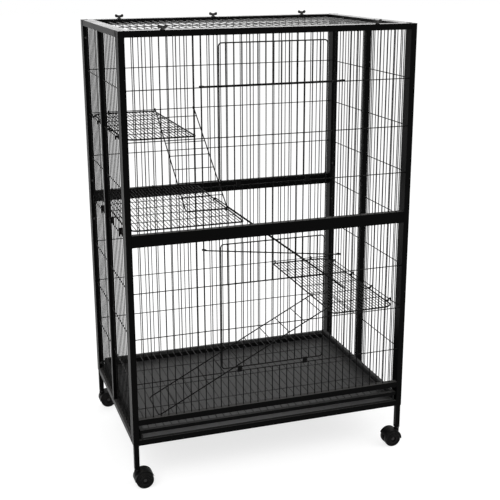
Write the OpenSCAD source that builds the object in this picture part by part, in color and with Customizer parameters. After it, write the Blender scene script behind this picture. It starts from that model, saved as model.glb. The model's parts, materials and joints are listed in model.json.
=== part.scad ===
// Ferret cage on casters: two bolted storeys of wire panels in square tube frames,
// with drop-down doors, wire shelves, hook-on ramps, a floor grate and a litter tray.
// Millimetres, Z up. The origin is on the floor under the middle of the cage, and the
// doors face -Y.

/* [Body] */
// Width over the frames
cage_w = 946; // [900:2:1000]
// Depth over the frames
cage_d = 650; // [610:2:700]
// Height over the frames, without the legs
cage_h = 1300; // [1280:2:1320]
// Height of the lower front and back frames
lower_h = 677; // [665:1:690]
// Side of the square frame tube
tube = 19; // [18.6:0.2:20]
// Wall of the frame tube
tube_wall = 1.2; // [0.8:0.1:1.4]
// Height of the raised front rail above the base
drawer_rail_z = 70; // [68:1:84]
// Middle upright of a side frame, measured from the centre of the cage
side_post_y = 10; // [-20:1:30]

/* [Wire panels] */
// Thickness of the panel wire
wire_d = 3; // [2.4:0.1:3.4]
// Largest distance between upright wires
wire_pitch = 25.4; // [22:0.2:30]
// Distance between level wires in the upper storey
upper_row_pitch = 152; // [146:1:158]
// Distance between level wires in the lower storey
lower_row_pitch = 150; // [146:1:156]
// Distance of the side panels' middle wire below the top of the lower frame
side_row_drop = 5; // [2:1:12]
// Length of wire left past a weld at the edge of a panel
wire_stub = 1; // [0.6:0.1:2]

/* [Doors] */
// Upright wires inside a door
door_wires = 13; // [9:2:15]
// Height of a door between its end rods
door_rise = 417; // [400:1:425]
// Thickness of the door's outline rod
door_rod_d = 4; // [3.4:0.1:5]
// Distance of a door's side rods inside the opening's last wires
door_inset = 2.7; // [2:0.1:5]
// Free space between a door and the panel behind it
door_gap = 0.5; // [0.4:0.1:1]
// Radius of the door's corners
door_corner_r = 10; // [8:0.5:12]
// Distance from the hinge wire up to the door's lower rod
hinge_rise = 16; // [14:0.5:20]
// Length of a hinge clip
hinge_len = 14; // [10:0.5:16]
// Sheet round the wires in a hinge clip
hinge_wall = 1.8; // [1.4:0.1:2.2]
// Radial running clearance in the hinge clips
hinge_fit = 0.08; // [0.05:0.01:0.1]
// Thickness of the latch rod
latch_d = 4; // [3.4:0.1:4.6]
// Free space between a latch rod and the door behind it
latch_gap = 0.5; // [0.4:0.1:1]
// Upright wires from the middle to the latch rod's eyes
latch_wires = 9; // [9:1:11]
// Slope of the lower latch rod, which hangs askew
latch_tilt = 7.2; // [3:0.2:8]
// Middle of the lower latch rod below the lower frame's top rail
lower_latch_drop = 58; // [55:1:68]

/* [Shelves] */
// Thickness of a shelf's outline rod
shelf_rod_d = 5; // [4.4:0.1:5.6]
// Thickness of the deck wires
deck_wire_d = 2.5; // [2:0.1:2.6]
// Largest distance between the deck's long wires
deck_pitch = 12.7; // [11.6:0.1:16]
// Largest distance between the deck's cross wires
deck_cross = 100; // [80:5:140]
// Corner radius beside the wall
shelf_wall_r = 36; // [28:1:44]
// Corner radius beside the ramp
shelf_free_r = 12; // [8:1:16]
// Distance from a frame's inner face to a shelf's outline rod
shelf_gap = 6; // [4:0.5:8]
// Distance of a hooked shelf below the wire that carries it
shelf_hang = 3; // [2:0.5:5]
// Sheet of the shelf hooks
shelf_hook_t = 2; // [1.5:0.1:3]
// Width of the upper shelf
upper_shelf_w = 219; // [200:1:219]
// Depth of the upper and middle shelves
shelf_d = 553; // [520:1:567]
// Width of the middle shelf
middle_shelf_w = 372; // [360:1:382]
// Height of the middle shelf above the lower frame
middle_shelf_rise = 13; // [6:1:14]
// Width of the lower shelf
lower_shelf_w = 223; // [200:1:237]
// Depth of the lower shelf
lower_shelf_d = 589; // [560:1:597]

/* [Ramps] */
// Width of a ramp between its rails
ramp_w = 143; // [120:1:143]
// Thickness of a ramp's rails
ramp_rail_d = 4; // [3.6:0.1:4.6]
// Thickness of the rungs
rung_d = 3; // [2.4:0.1:3.4]
// Distance between rungs
rung_pitch = 64; // [40:1:70]
// Free space inside a ramp's hook
ramp_hook_gap = 0.4; // [0.3:0.05:0.6]
// Sheet of the ramps' hooks
ramp_hook_t = 3; // [2:0.1:3.4]
// Length of the upper ramp
upper_ramp_len = 495; // [480:1:520]
// Length of the middle ramp
middle_ramp_len = 549; // [530:1:560]
// Length of the lower ramp
lower_ramp_len = 665; // [640:1:680]
// Smallest free space between the upper ramp and the upper shelf
ramp_side_gap = 1; // [1:0.5:8]
// Middle of the middle ramp in front of the shelf's back edge
middle_ramp_back = 303.5; // [297:0.5:310]
// Middle of the lower ramp behind the shelf's front edge
lower_ramp_front = 117.5; // [109:0.5:129]

/* [Tray and grate] */
// Sheet of the runners' ledges
runner_t = 2; // [1.5:0.1:2.5]
// Width of the ledges
ledge_w = 14; // [11:0.5:18]
// Free height between the tray and the front rail under it
tray_clear = 0.8; // [0.4:0.1:1.4]
// Height of a tray's walls
tray_h = 18.2; // [15:0.1:20]
// Sheet of the tray
tray_t = 1.5; // [1:0.1:2]
// Height of the tray's front lip
tray_lip = 5.7; // [4:0.1:10]
// Corner radius of the tray
tray_r = 9; // [6:0.5:14]
// Side of the grate's square bar
grate_bar = 12; // [11:0.5:13]
// Grate wires welded across the long ones
grate_cross_wires = 3; // [2:1:5]
// Free length behind the tray and the grate
drawer_back_gap = 9; // [6:0.5:20]

/* [Legs and casters] */
// Side of the square leg tube
leg_w = 16; // [14.8:0.1:16]
// Visible length of a leg
leg_drop = 85; // [70:1:120]
// Length of a leg inside the frame's upright
leg_in = 80; // [60:1:110]
// Radius of a caster wheel
wheel_r = 29; // [25:0.5:32]
// Width of each wheel of the pair
wheel_w = 15; // [12:0.5:17]
// Thickness of the hood's web between the wheels
web_t = 12; // [11.4:0.2:14]
// Sheet of the hood over the wheels
hood_t = 2; // [1.5:0.1:3]
// Distance from the swivel to the wheel's axle
trail = 22; // [18:0.5:24]
// Thickness of the swivel stem
stem_d = 8; // [7:0.1:8.6]
// Height of the stem's collar
collar_h = 3; // [2:0.5:5]
// Thickness of the wheel axle
axle_d = 6; // [5:0.1:7]
// Radial running clearance of the wheels and swivels
run_fit = 0.08; // [0.05:0.01:0.1]

/* [Fasteners] */
// Thickness of the frame bolts
bolt_d = 5; // [4:0.1:6]
// Width of a wing bolt's wings
wing_w = 30; // [26:0.5:34]
// Distance of the outer wing bolts from the middle
wing_bolt_x = 340; // [300:1:400]

/* [Hidden] */
$fn = 32;

black = "#1b1c1e";
wire_black = "#222325";
tray_grey = "#4c4e50";
caster_black = "#101112";
steel = "#36373a";

// Gap between pieces that rest on each other
seat = 0.3;
// Extra length of a cutting shape past the face that it opens
cut = 1;

// Levels
hood_gap = 1;
hood_r = wheel_r + hood_gap + hood_t;
caster_h = wheel_r + hood_r + collar_h;
base_z = leg_drop + caster_h;

// Planes of the panels
half_w = cage_w / 2;
half_d = cage_d / 2;
panel_x = half_w - tube / 2;
panel_y = half_d - tube / 2;
inner_w = half_w - tube;
inner_d = half_d - tube;
top_z = cage_h - tube;

// Wires of the front and back panels: an even number of gaps puts one on the middle
col_gaps = 2 * ceil(inner_w / wire_pitch - 0.01);
col_pitch = 2 * inner_w / col_gaps;
last_col = col_gaps / 2 - 1;
door_col = (door_wires + 1) / 2;
function col(i) = i * col_pitch;
function cols(from, to) = [for (i = [from:to]) col(i)];
function upper_row(k) = top_z - k * upper_row_pitch;
function lower_row(k) = lower_h - tube - k * lower_row_pitch;
side_rows = concat(
    [for (k = [1:3]) upper_row(k)],
    [lower_h - side_row_drop],
    [for (k = [1:3]) lower_row(k)]
);

// Wires of the side panels, before and behind the middle upright
side_front = [-inner_d + tube, side_post_y - tube / 2];
side_rear = [side_post_y + tube / 2, inner_d - tube];
function gaps(span) = ceil((span[1] - span[0]) / wire_pitch - 0.01);
function even_wires(span) = [
    for (i = [1:gaps(span) - 1]) span[0] + i * (span[1] - span[0]) / gaps(span)
];
function gap_middle(span, i) = span[0] + (i + 0.5) * (span[1] - span[0]) / gaps(span);

// Middle of the gap between upright wires nearest to a place
function col_gap_near(x) = (round(x / col_pitch - 0.5) + 0.5) * col_pitch;
function side_gap_near(y) =
    let (
        span = y < side_post_y ? side_front : side_rear,
        i = round((y - span[0]) * gaps(span) / (span[1] - span[0]) - 0.5)
    )
    gap_middle(span, max(0, min(gaps(span) - 1, i)));

// Ends of the wire panels, and how far a panel runs past its edge wire
upper_rows = [for (k = [1:3]) upper_row(k)];
lower_rows = [for (k = [1:3]) lower_row(k)];
upper_bottom = lower_h + tube;
lower_top = lower_h - tube;
lower_bottom = drawer_rail_z + tube;
row_edge = (wire_d + wire_stub) / 2;

// Doors and latch rods
door_y = -panel_y - wire_d / 2 - door_gap - door_rod_d / 2;
door_half_w = col(door_col) - door_inset;
hinge_x = col(4.5);
latch_y = door_y - door_rod_d / 2 - latch_gap - latch_d / 2;
latch_back_gap = 0.4;
latch_eye_r = (-panel_y - latch_y + wire_d / 2 + latch_back_gap + latch_d / 2) / 2;
latch_x = col(latch_wires);

// Shelves
deck_sink = 0.25;
deck_lift = (shelf_rod_d - deck_wire_d) / 2 - deck_sink;
wall_edge = inner_w - shelf_gap;
back_edge = inner_d - shelf_gap;
upper_shelf_z = upper_row(2) - shelf_hang;
middle_shelf_z = lower_h + middle_shelf_rise;
lower_shelf_z = lower_row(2) - shelf_hang;

// Hooks of the shelves, each in the gap between two upright wires. The outer ones keep
// clear of the shelf's corners.
hook_clear = 1.3;
hook_in = shelf_wall_r + wire_pitch / 2 + hook_clear;
free_hook_in = shelf_free_r + wire_pitch / 2 + hook_clear;
function hook_ys(d) = [
    for (i = [0:3]) side_gap_near(back_edge - hook_in - i * (d - 2 * hook_in) / 3)
];
function hook_xs(w, n) = [
    for (i = [0:n]) col_gap_near(-wall_edge + hook_in + i * (w - hook_in - free_hook_in) / n)
];

// Tray and grate
ledge_clear = 0.7;
grate_side_gap = 4;
tray_side_gap = 3.5;
tray_front_gap = 3;
grate_sink = 0.3;
tray_z = tube + tray_clear;
ledge_z = tray_z - seat - runner_t;
upper_ledge_z = tray_z + tray_h + ledge_clear;
grate_z = upper_ledge_z + runner_t + seat;
grate_half_w = inner_w - grate_side_gap;
tray_half_w = inner_w - tray_side_gap;
tray_front = -half_d + tray_front_gap;
drawer_back = inner_d - drawer_back_gap;
grate_wire_z = grate_z + grate_bar - wire_d / 2 - grate_sink;

// Ramps: the deck lies ramp_hook_r over the wire that the hooks turn on
ramp_hook_lip = 0.3;
function ramp_hook_r(wire) = wire / 2 + ramp_hook_gap + ramp_hook_lip + ramp_rail_d / 2;
function ramp_slope(len, drop, r) = asin(drop / sqrt(len * len + r * r)) + atan2(r, len);
ramp_foot = seat + ramp_rail_d / 2;
upper_ramp_drop = upper_row(2) - middle_shelf_z - shelf_rod_d / 2 - ramp_foot;
middle_ramp_drop = middle_shelf_z - lower_shelf_z - shelf_rod_d / 2 - ramp_foot;
lower_ramp_drop = lower_shelf_z - grate_z - grate_bar - ramp_foot;
upper_shelf_edge = -wall_edge + upper_shelf_w;
upper_ramp_x = col(ceil(
    (upper_shelf_edge + (shelf_rod_d + ramp_rail_d + ramp_w) / 2 + ramp_side_gap) / col_pitch
));
middle_ramp_x = -wall_edge + middle_shelf_w;
middle_ramp_y = back_edge - middle_ramp_back;
lower_ramp_x = wall_edge - lower_shelf_w;
lower_ramp_y = back_edge - lower_shelf_d + lower_ramp_front;

// Legs
leg_wall = 1.2;
leg_foot_h = 40;
leg_socket = 34;

// Casters
stem_up = 32;
stem_down = 22;
collar_d = 15;
boss_d = 18;
hood_top = caster_h - collar_h - seat;
wheel_side_gap = 0.5;
wheel_face = web_t / 2 + wheel_side_gap;
hub_sink = 3;
hub_r = 12;
cap_r = 5;
cap_t = 1.5;

// Fasteners
bolt_clear = 0.1;
foot_bolt_z = 40;
joint_bolt_drop = 77;
joint_bolt_rise = 63;
head_bolt_drop = 60;
bolt_heights = [
    foot_bolt_z, lower_h - joint_bolt_drop, lower_h + joint_bolt_rise, cage_h - head_bolt_drop
];
bolt_head_d = 2 * bolt_d;
bolt_head_h = 0.6 * bolt_d;
bolt_tip = 5;
wing_bolt_d = 6;
wing_bolt_reach = 6;
washer_d = 15;
washer_t = 1.5;
front_wing_bolts = [-wing_bolt_x, wing_bolt_x];
back_wing_bolts = [-wing_bolt_x, 0, wing_bolt_x];

// ---- Shared shapes ----

module in_cage() {
    translate([0, 0, base_z])
        children();
}

// Round bar from a point along one axis
module rod(start, len, axis, d) {
    turn = axis == "x" ? [0, 90, 0] : axis == "y" ? [-90, 0, 0] : [0, 0, 0];
    translate(start)
        rotate(turn)
            cylinder(d = d, h = len);
}

// Part of a ring in the XY plane
module bend(centre, r, from, sweep, d) {
    translate(centre)
        rotate([0, 0, from])
            rotate_extrude(angle = sweep)
                translate([r, 0])
                    circle(d = d);
}

// Rounded loop of rod in the XY plane, with one corner radius at -X and one at +X
module rod_loop(x0, x1, y0, y1, r0, r1, d) {
    rod([x0 + r0, y0, 0], x1 - x0 - r0 - r1, "x", d);
    rod([x0 + r0, y1, 0], x1 - x0 - r0 - r1, "x", d);
    rod([x0, y0 + r0, 0], y1 - y0 - 2 * r0, "y", d);
    rod([x1, y0 + r1, 0], y1 - y0 - 2 * r1, "y", d);
    bend([x1 - r1, y1 - r1, 0], r1, 0, 90, d);
    bend([x0 + r0, y1 - r0, 0], r0, 90, 90, d);
    bend([x0 + r0, y0 + r0, 0], r0, 180, 90, d);
    bend([x1 - r1, y0 + r1, 0], r1, 270, 90, d);
}

// Welded wires in the XY plane: uprights at the xs, level wires at the ys
module wires(xs, ys, x0, x1, y0, y1, d) {
    for (x = xs)
        rod([x, y0, 0], y1 - y0, "y", d);
    for (y = ys)
        rod([x0, y, 0], x1 - x0, "x", d);
}

// The XY plane set up as a front panel, a side panel or the top
module as_front(y) {
    translate([0, y, base_z])
        rotate([90, 0, 0])
            children();
}

module as_side(x) {
    translate([x, 0, base_z])
        rotate([90, 0, 90])
            children();
}

// Welded frame of square tube: two uprights and the rails between them, from y 0 to tube
module tube_frame(w, h, rails, open_foot) {
    bore = tube - 2 * tube_wall;
    foot = open_foot ? -cut : tube_wall;
    difference() {
        union() {
            for (side = [-1, 1])
                translate([side * (w - tube) / 2 - tube / 2, 0, 0])
                    cube([tube, tube, h]);
            for (z = rails)
                translate([-w / 2 + tube / 2, 0, z])
                    cube([w - tube, tube, tube]);
        }
        for (side = [-1, 1])
            translate([side * (w - tube) / 2 - bore / 2, tube_wall, foot])
                cube([bore, bore, h - tube_wall - foot]);
        for (z = rails)
            translate([-(w - tube) / 2, tube_wall, z + tube_wall])
                cube([w - tube, bore, bore]);
    }
}

// Places of the bolts that join the side frames to the front and back frames
module at_corner_bolts() {
    for (end = [0, 1])
        mirror([0, end, 0])
            for (side = [-1, 1])
                for (z = bolt_heights)
                    translate([side * panel_x, -inner_d + tube, z])
                        rotate([90, 0, 0])
                            children();
}

// Places of the bolts that join the top frame to the side frames
module at_top_bolts() {
    for (side = [0, 1])
        mirror([side, 0, 0])
            for (y = [-inner_d / 2, inner_d / 2])
                translate([inner_w - tube, y, cage_h - tube / 2])
                    rotate([0, 90, 0])
                        children();
}

module bolt_holes() {
    at_corner_bolts()
        translate([0, 0, -cut])
            cylinder(d = bolt_d + 2 * bolt_clear, h = tube + bolt_tip + cut);
    at_top_bolts()
        translate([0, 0, -cut])
            cylinder(d = bolt_d + 2 * bolt_clear, h = tube + bolt_tip + cut);
}

// Button-head bolt along +Z, with its head below the plane
module button_bolt() {
    translate([0, 0, -bolt_head_h])
        cylinder(d1 = 0.7 * bolt_head_d, d2 = bolt_head_d, h = bolt_head_h);
    cylinder(d = bolt_d, h = tube + bolt_tip);
}

module wing_bolt_holes() {
    for (x = back_wing_bolts)
        for (y = [-panel_y, panel_y])
            if (y > 0 || x != 0)
                translate([x, y, cage_h - wing_bolt_reach - bolt_clear])
                    cylinder(d = wing_bolt_d + 2 * bolt_clear, h = wing_bolt_reach + cut);
}

// ---- Frames ----

module front_upper_frame() {
    color(black)
        in_cage()
            difference() {
                translate([0, -half_d, lower_h])
                    tube_frame(cage_w, cage_h - lower_h, [0, top_z - lower_h], false);
                bolt_holes();
                wing_bolt_holes();
            }
}

module back_upper_frame() {
    color(black)
        in_cage()
            difference() {
                translate([0, inner_d, lower_h])
                    tube_frame(cage_w, cage_h - lower_h, [0, top_z - lower_h], false);
                bolt_holes();
                wing_bolt_holes();
            }
}

module front_lower_frame() {
    color(black)
        in_cage()
            difference() {
                translate([0, -half_d, 0])
                    tube_frame(cage_w, lower_h, [0, drawer_rail_z, lower_h - tube], true);
                bolt_holes();
            }
}

module back_lower_frame() {
    color(black)
        in_cage()
            difference() {
                translate([0, inner_d, 0])
                    tube_frame(cage_w, lower_h, [0, lower_h - tube], true);
                bolt_holes();
            }
}

// Side frame with its middle upright, its outer face at x 0 and its tubes towards -X
module side_frame() {
    bore = tube - 2 * tube_wall;
    rotate([0, 0, 90])
        difference() {
            union() {
                tube_frame(2 * inner_d, cage_h, [0, top_z], false);
                translate([side_post_y - tube / 2, 0, tube / 2])
                    cube([tube, tube, cage_h - tube]);
            }
            translate([side_post_y - bore / 2, tube_wall, tube / 2])
                cube([bore, bore, cage_h - tube]);
            for (z = [0, top_z])
                translate([-inner_d + tube / 2, tube_wall, z + tube_wall])
                    cube([2 * inner_d - tube, bore, bore]);
        }
}

module left_frame() {
    color(black)
        in_cage()
            difference() {
                translate([-inner_w, 0, 0])
                    side_frame();
                bolt_holes();
            }
}

module right_frame() {
    color(black)
        in_cage()
            difference() {
                translate([half_w, 0, 0])
                    side_frame();
                bolt_holes();
            }
}

module top_frame() {
    color(black)
        in_cage()
            difference() {
                translate([0, inner_d, top_z])
                    rotate([90, 0, 0])
                        tube_frame(2 * inner_w, 2 * inner_d, [0, 2 * inner_d - tube], false);
                bolt_holes();
            }
}

// ---- Wire panels ----

// Panel beside a door, from the frame's upright to just past the opening's last wire
module grid_beside_door(side, bottom, top, row_heights) {
    edge = col(door_col) - wire_d / 2 - wire_stub;
    color(wire_black)
        as_front(-panel_y)
            wires(
                cols(door_col, last_col) * side, row_heights,
                min(side * edge, side * inner_w), max(side * edge, side * inner_w),
                bottom, top, wire_d
            );
}

// Panel above or below a door, with one level wire at the opening's edge
module grid_over_door(bottom, top, row_height) {
    edge = col(door_col) - wire_d / 2 - wire_stub;
    color(wire_black)
        as_front(-panel_y)
            wires(cols(1 - door_col, door_col - 1), [row_height], -edge, edge, bottom, top, wire_d);
}

module full_grid(bottom, top, row_heights) {
    color(wire_black)
        as_front(panel_y)
            wires(cols(-last_col, last_col), row_heights, -inner_w, inner_w, bottom, top, wire_d);
}

module front_upper_grid_left() {
    grid_beside_door(-1, upper_bottom, top_z, upper_rows);
}

module front_upper_grid_right() {
    grid_beside_door(1, upper_bottom, top_z, upper_rows);
}

module front_upper_grid_above() {
    grid_over_door(upper_row(1) - row_edge, top_z, upper_row(1));
}

module front_upper_grid_below() {
    grid_over_door(upper_bottom, upper_row(3) + row_edge, upper_row(3));
}

module front_lower_grid_left() {
    grid_beside_door(-1, lower_bottom, lower_top, lower_rows);
}

module front_lower_grid_right() {
    grid_beside_door(1, lower_bottom, lower_top, lower_rows);
}

module front_lower_grid_above() {
    grid_over_door(lower_row(1) - row_edge, lower_top, lower_row(1));
}

module front_lower_grid_below() {
    grid_over_door(lower_bottom, lower_row(3) + row_edge, lower_row(3));
}

module back_upper_grid() {
    full_grid(upper_bottom, top_z, upper_rows);
}

module back_lower_grid() {
    full_grid(tube, lower_top, lower_rows);
}

module side_grid(side, span) {
    color(wire_black)
        as_side(side * panel_x)
            wires(even_wires(span), side_rows, span[0], span[1], tube, top_z, wire_d);
}

module left_grid_front() {
    side_grid(-1, side_front);
}

module left_grid_rear() {
    side_grid(-1, side_rear);
}

module right_grid_front() {
    side_grid(1, side_front);
}

module right_grid_rear() {
    side_grid(1, side_rear);
}

module top_grid() {
    span_x = [-inner_w + tube, inner_w - tube];
    span_y = [-inner_d + tube, inner_d - tube];
    row_step = (span_y[1] - span_y[0]) / 4;
    color(wire_black)
        translate([0, 0, base_z + cage_h - tube / 2])
            wires(
                even_wires(span_x), [for (i = [-1:1]) i * row_step],
                span_x[0], span_x[1], span_y[0], span_y[1], wire_d
            );
}

// ---- Doors ----

// Door in the XY plane with its hinge wire on y 0
module door(hinge_z, row_heights) {
    foot = hinge_rise;
    head = hinge_rise + door_rise;
    color(wire_black)
        translate([0, 0, hinge_z])
            as_front(door_y) {
                rod_loop(
                    -door_half_w, door_half_w, foot, head,
                    door_corner_r, door_corner_r, door_rod_d
                );
                wires(
                    cols(1 - door_col, door_col - 1), [for (z = row_heights) z - hinge_z],
                    -door_half_w, door_half_w, foot, head, wire_d
                );
            }
}

// Two clips that turn on the panel's wire and hold the door's lower rod
module hinge_clips(hinge_z) {
    out = door_y + panel_y;
    lean = atan2(hinge_rise, out);
    color(wire_black)
        for (x = [-hinge_x, hinge_x])
            translate([x - hinge_len / 2, -panel_y, base_z + hinge_z])
                rotate([90, 0, 90])
                    linear_extrude(hinge_len)
                        difference() {
                            union() {
                                circle(d = wire_d + 2 * (hinge_fit + hinge_wall));
                                translate([out, hinge_rise])
                                    circle(d = door_rod_d + 2 * (hinge_fit + hinge_wall));
                                rotate(lean)
                                    translate([0, -hinge_wall])
                                        square([norm([out, hinge_rise]), 2 * hinge_wall]);
                            }
                            circle(d = wire_d + 2 * hinge_fit);
                            translate([out, hinge_rise])
                                circle(d = door_rod_d + 2 * hinge_fit);
                        }
}

// Sliding rod across a door, with an eye round a panel wire at each end
module latch_rod(height, tilt) {
    reach = latch_x / cos(tilt);
    sweep = 300;
    color(wire_black)
        translate([0, latch_y, base_z + height])
            rotate([0, tilt, 0])
                for (end = [0, 1])
                    mirror([end, 0, 0]) {
                        rod([0, 0, 0], reach, "x", latch_d);
                        bend([reach, latch_eye_r, 0], latch_eye_r, 270, sweep, latch_d);
                    }
}

module upper_door() {
    door(upper_row(3), [upper_row(2), upper_row(1)]);
}

module upper_door_hinges() {
    hinge_clips(upper_row(3));
}

module upper_latch_rod() {
    latch_rod(upper_row(1) + wire_d / 2 + seat + latch_d / 2, 0);
}

module lower_door() {
    door(lower_row(3), [lower_row(2), lower_row(1)]);
}

module lower_door_hinges() {
    hinge_clips(lower_row(3));
}

module lower_latch_rod() {
    latch_rod(lower_top - lower_latch_drop, latch_tilt);
}

// ---- Tray, grate and their runners ----

// Two flat ledges along the left side frame: the tray slides on the lower one and the
// grate on the upper one
module runner() {
    for (z = [ledge_z, upper_ledge_z])
        translate([-inner_w, -inner_d, base_z + z])
            cube([ledge_w, 2 * inner_d, runner_t]);
}

module left_runner() {
    color(black)
        runner();
}

module right_runner() {
    color(black)
        mirror([1, 0, 0])
            runner();
}

// Rectangle with round corners, from y0 to y1
module round_rect(half_width, y0, y1, r) {
    translate([-half_width + r, y0])
        square([2 * (half_width - r), y1 - y0]);
    translate([-half_width, y0 + r])
        square([2 * half_width, y1 - y0 - 2 * r]);
    for (x = [-half_width + r, half_width - r])
        for (y = [y0 + r, y1 - r])
            translate([x, y])
                circle(r);
}

module litter_tray() {
    color(tray_grey)
        translate([0, 0, base_z + tray_z])
            difference() {
                linear_extrude(tray_h)
                    round_rect(tray_half_w, tray_front, drawer_back, tray_r);
                translate([0, 0, tray_t])
                    linear_extrude(tray_h)
                        round_rect(
                            tray_half_w - tray_t, tray_front + tray_t,
                            drawer_back - tray_t, tray_r - tray_t
                        );
                translate([-tray_half_w + tray_r, tray_front - cut, tray_lip])
                    cube([2 * (tray_half_w - tray_r), tray_t + 2 * cut, tray_h]);
            }
}

module floor_grate() {
    y0 = -half_d;
    bar_mid = grate_bar / 2;
    span = [-grate_half_w + bar_mid, grate_half_w - bar_mid];
    row_step = (drawer_back - y0) / (grate_cross_wires + 1);
    color(wire_black)
        translate([0, 0, base_z]) {
            translate([0, 0, grate_z])
                difference() {
                    translate([-grate_half_w, y0, 0])
                        cube([2 * grate_half_w, drawer_back - y0, grate_bar]);
                    translate([-grate_half_w + grate_bar, y0 + grate_bar, -cut])
                        cube([
                            2 * (grate_half_w - grate_bar),
                            drawer_back - y0 - 2 * grate_bar,
                            grate_bar + 2 * cut
                        ]);
                }
            translate([0, 0, grate_wire_z])
                wires(
                    even_wires(span), [for (i = [1:grate_cross_wires]) y0 + i * row_step],
                    span[0], span[1], y0 + bar_mid, drawer_back - bar_mid, wire_d
                );
        }
}

// ---- Shelves ----

// How far a round corner draws in the end of a wire at a distance from the edge
function drawn_in(from_edge, r) =
    from_edge < r ? r - sqrt(r * r - (r - from_edge) * (r - from_edge)) : 0;

// Wire deck from the wall at x 0 to its ramp side, from y -d to 0
module deck(w, d) {
    long_gaps = ceil(w / deck_pitch - 0.01);
    cross_gaps = ceil(d / deck_cross - 0.01);
    rod_loop(0, w, -d, 0, shelf_wall_r, shelf_free_r, shelf_rod_d);
    for (i = [1:long_gaps - 1]) {
        x = i * w / long_gaps;
        short = max(drawn_in(x, shelf_wall_r), drawn_in(w - x, shelf_free_r));
        rod([x, short - d, deck_lift], d - 2 * short, "y", deck_wire_d);
    }
    for (i = [1:cross_gaps - 1])
        rod([0, -i * d / cross_gaps, deck_lift], w, "x", deck_wire_d);
}

// Notched sheet hook in the XZ plane: the wire runs through the origin along Y, and the
// shelf's rod lies at x reach and height rise
module wire_hook(reach, rise) {
    throat = wire_d / 2 + seat;
    cheek = 3.5;
    head_half = throat + cheek;
    head_top = max(head_half, rise + shelf_rod_d / 2 - seat);
    head_foot = head_half + 2;
    arm_foot = rise - shelf_rod_d / 2;
    translate([0, shelf_hook_t / 2, 0])
        rotate([90, 0, 0])
            linear_extrude(shelf_hook_t)
                difference() {
                    union() {
                        translate([-head_half, -head_foot])
                            square([2 * head_half, head_top + head_foot]);
                        translate([0, arm_foot])
                            square([reach, shelf_rod_d - seat]);
                    }
                    circle(throat);
                    translate([-throat, -head_foot - cut])
                        square([2 * throat, head_foot + cut]);
                }
}

// Sheet lip in the XZ plane that lies on the mid rail: the rail's top inner edge is at
// the origin
module rail_hook(rise) {
    reach = shelf_gap;
    lip_w = 0.75 * tube;
    lip_t = 3.5;
    translate([0, shelf_hook_t / 2, 0])
        rotate([90, 0, 0])
            linear_extrude(shelf_hook_t) {
                translate([-lip_w, seat])
                    square([lip_w + reach, lip_t]);
                translate([seat, rise - shelf_rod_d / 2])
                    square([reach - seat, seat + lip_t - rise + shelf_rod_d / 2]);
            }
}

// Hooks on a side panel's wire, for a shelf against the left wall
module side_hooks(rise, d) {
    for (y = hook_ys(d))
        translate([-panel_x, y, -rise])
            wire_hook(panel_x - wall_edge, rise);
}

// Hooks on the back panel's wire
module back_hooks(xs, rise) {
    for (x = xs)
        translate([x, panel_y, -rise])
            rotate([0, 0, -90])
                wire_hook(panel_y - back_edge, rise);
}

module upper_shelf() {
    color(wire_black)
        translate([0, 0, base_z + upper_shelf_z]) {
            translate([-wall_edge, back_edge, 0])
                deck(upper_shelf_w, shelf_d);
            side_hooks(-shelf_hang, shelf_d);
            back_hooks(hook_xs(upper_shelf_w, 1), -shelf_hang);
        }
}

module middle_shelf() {
    wire_rise = middle_shelf_rise + side_row_drop;
    color(wire_black)
        translate([0, 0, base_z + middle_shelf_z]) {
            translate([-wall_edge, back_edge, 0])
                deck(middle_shelf_w, shelf_d);
            side_hooks(wire_rise, shelf_d);
            for (x = hook_xs(middle_shelf_w, 2))
                translate([x, inner_d, tube - middle_shelf_rise])
                    rotate([0, 0, -90])
                        rail_hook(middle_shelf_rise - tube);
        }
}

module lower_shelf() {
    color(wire_black)
        translate([0, 0, base_z + lower_shelf_z])
            mirror([1, 0, 0]) {
                translate([-wall_edge, back_edge, 0])
                    deck(lower_shelf_w, lower_shelf_d);
                side_hooks(-shelf_hang, lower_shelf_d);
                back_hooks(hook_xs(lower_shelf_w, 1), -shelf_hang);
            }
}

// ---- Ramps ----

// Half ring of sheet round the wire, under the end of a ramp's rail
module ramp_hook(bore_r) {
    outer_r = bore_r + 0.9 * ramp_rail_d;
    mouth = 0.5;
    translate([0, ramp_hook_t / 2, 0])
        rotate([90, 0, 0])
            linear_extrude(ramp_hook_t)
                difference() {
                    circle(outer_r);
                    circle(bore_r);
                    translate([mouth, -outer_r - cut])
                        square([outer_r, outer_r + cut + bore_r + ramp_rail_d / 5]);
                }
}

// Ladder ramp that turns on a wire along Y through the origin and goes down towards +X
module ramp(len, slope, wire) {
    r = ramp_hook_r(wire);
    bend_r = 3 * ramp_rail_d;
    color(wire_black)
        rotate([0, slope, 0]) {
            for (side = [-1, 1])
                translate([0, side * ramp_w / 2, 0]) {
                    ramp_hook(wire / 2 + ramp_hook_gap);
                    rod([-1, 0, r], len - bend_r + 1, "x", ramp_rail_d);
                }
            bend([len - bend_r, ramp_w / 2 - bend_r, r], bend_r, 0, 90, ramp_rail_d);
            bend([len - bend_r, bend_r - ramp_w / 2, r], bend_r, 270, 90, ramp_rail_d);
            rod([len, bend_r - ramp_w / 2, r], ramp_w - 2 * bend_r, "y", ramp_rail_d);
            for (x = [len - rung_pitch:-rung_pitch:rung_pitch / 4])
                rod([x, -ramp_w / 2, r], ramp_w, "y", rung_d);
        }
}

module upper_ramp() {
    slope = ramp_slope(upper_ramp_len, upper_ramp_drop, ramp_hook_r(wire_d));
    translate([upper_ramp_x, panel_y, base_z + upper_row(2)])
        rotate([0, 0, -90])
            ramp(upper_ramp_len, slope, wire_d);
}

module middle_ramp() {
    slope = ramp_slope(middle_ramp_len, middle_ramp_drop, ramp_hook_r(shelf_rod_d));
    translate([middle_ramp_x, middle_ramp_y, base_z + middle_shelf_z])
        ramp(middle_ramp_len, slope, shelf_rod_d);
}

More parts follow.
